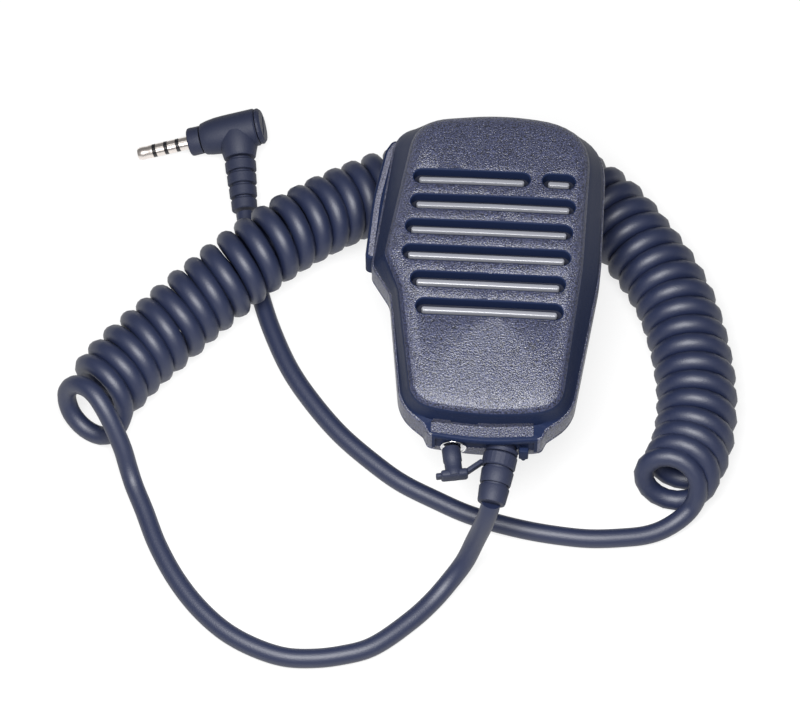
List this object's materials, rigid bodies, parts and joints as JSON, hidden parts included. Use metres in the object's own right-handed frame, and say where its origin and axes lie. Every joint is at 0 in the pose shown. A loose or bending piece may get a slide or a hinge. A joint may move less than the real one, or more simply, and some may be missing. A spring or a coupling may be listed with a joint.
{
  "type": "hand microphone",
  "caption": "Hand-held radio microphone with a slotted grille, side talk bar, swivelling belt clip, curly cord and angled jack plug.",
  "frame": {"origin": "where the swivel axis of the belt clip meets the flat outer face of the clip lever, which the part lies on", "axes": "+Z out of the grille, away from the surface; +Y to the top of the microphone; +X to the right, away from the talk bar; the cord leaves at -Y"},
  "size_m": [0.1713, 0.1547, 0.049],
  "materials": {
    "shell_plastic": "fine pebble grain",
    "satin_rubber": "satin",
    "grille_cloth": "fine weave",
    "clip_plastic": "satin",
    "nickel": "polished nickel",
    "steel": "plain",
    "magnet_steel": "plain",
    "cone_paper": "matte paper",
    "board_laminate": "solder mask",
    "insulator": "moulded"
  },
  "bodies": {
    "root": {"front_shell": "shell_plastic", "back_shell": "shell_plastic", "shell_screw_1": "steel", "shell_screw_2": "steel", "shell_screw_3": "steel", "shell_screw_4": "steel", "swivel_screw": "steel", "grille_cloth": "grille_cloth", "speaker_frame": "magnet_steel", "speaker_cone": "cone_paper", "speaker_magnet": "magnet_steel", "mic_boot": "satin_rubber", "mic_capsule": "steel", "circuit_board": "board_laminate", "switch_body": "insulator", "jack_ring": "nickel", "jack_body": "insulator", "strain_relief": "satin_rubber", "tether_ring": "satin_rubber", "latch_tongue": "shell_plastic", "cord_lead": "satin_rubber", "curly_cord": "satin_rubber", "cord_tail": "satin_rubber", "plug_relief": "satin_rubber", "plug_body": "satin_rubber", "plug_cap": "satin_rubber", "plug_collar": "satin_rubber", "plug_sleeve": "nickel", "plug_ring_1": "nickel", "plug_ring_2": "nickel", "plug_tip": "nickel", "plug_insulator_1": "insulator", "plug_insulator_2": "insulator", "plug_insulator_3": "insulator"},
    "talk_bar": {"talk_bar": "shell_plastic"},
    "switch_stem": {"switch_stem": "insulator"},
    "dust_plug": {"dust_plug": "satin_rubber"},
    "clip_base": {"clip_base": "clip_plastic", "clip_pin": "steel"},
    "clip_lever": {"clip_lever": "clip_plastic", "clip_spring": "steel"}
  },
  "joints": [
    {"name": "talk_press", "type": "slide", "parent": "root", "child": "talk_bar", "axis": [0.9944, -0.1058, 0], "range_m": [0, 0.0012], "stiffness_N_per_m": 900, "springref_m": -0.0008},
    {"name": "switch_press", "type": "slide", "parent": "root", "child": "switch_stem", "axis": [0.9944, -0.1058, 0], "range_m": [0, 0.0012], "stiffness_N_per_m": 100, "springref_m": -0.0004},
    {"name": "plug_swing", "type": "hinge", "parent": "root", "child": "dust_plug", "pos_m": [-0.0017, -0.0489, 0.0315], "axis": [0, 0, 1], "range_deg": [0, 25], "stiffness_Nm_per_rad": 0.01},
    {"name": "clip_swivel", "type": "hinge", "parent": "root", "child": "clip_base", "pos_m": [0, 0, 0], "axis": [0, 0, 1], "continuous": true},
    {"name": "clip_open", "type": "hinge", "parent": "clip_base", "child": "clip_lever", "pos_m": [0, 0.008, 0.008], "axis": [1, 0, 0], "range_deg": [0, 22], "stiffness_Nm_per_rad": 0.25, "springref_deg": -28.65, "deforming": ["clip_spring"]}
  ],
  "couplings": [
    {"joint": "switch_press", "follows": "talk_press", "ratio": 1}
  ]
}
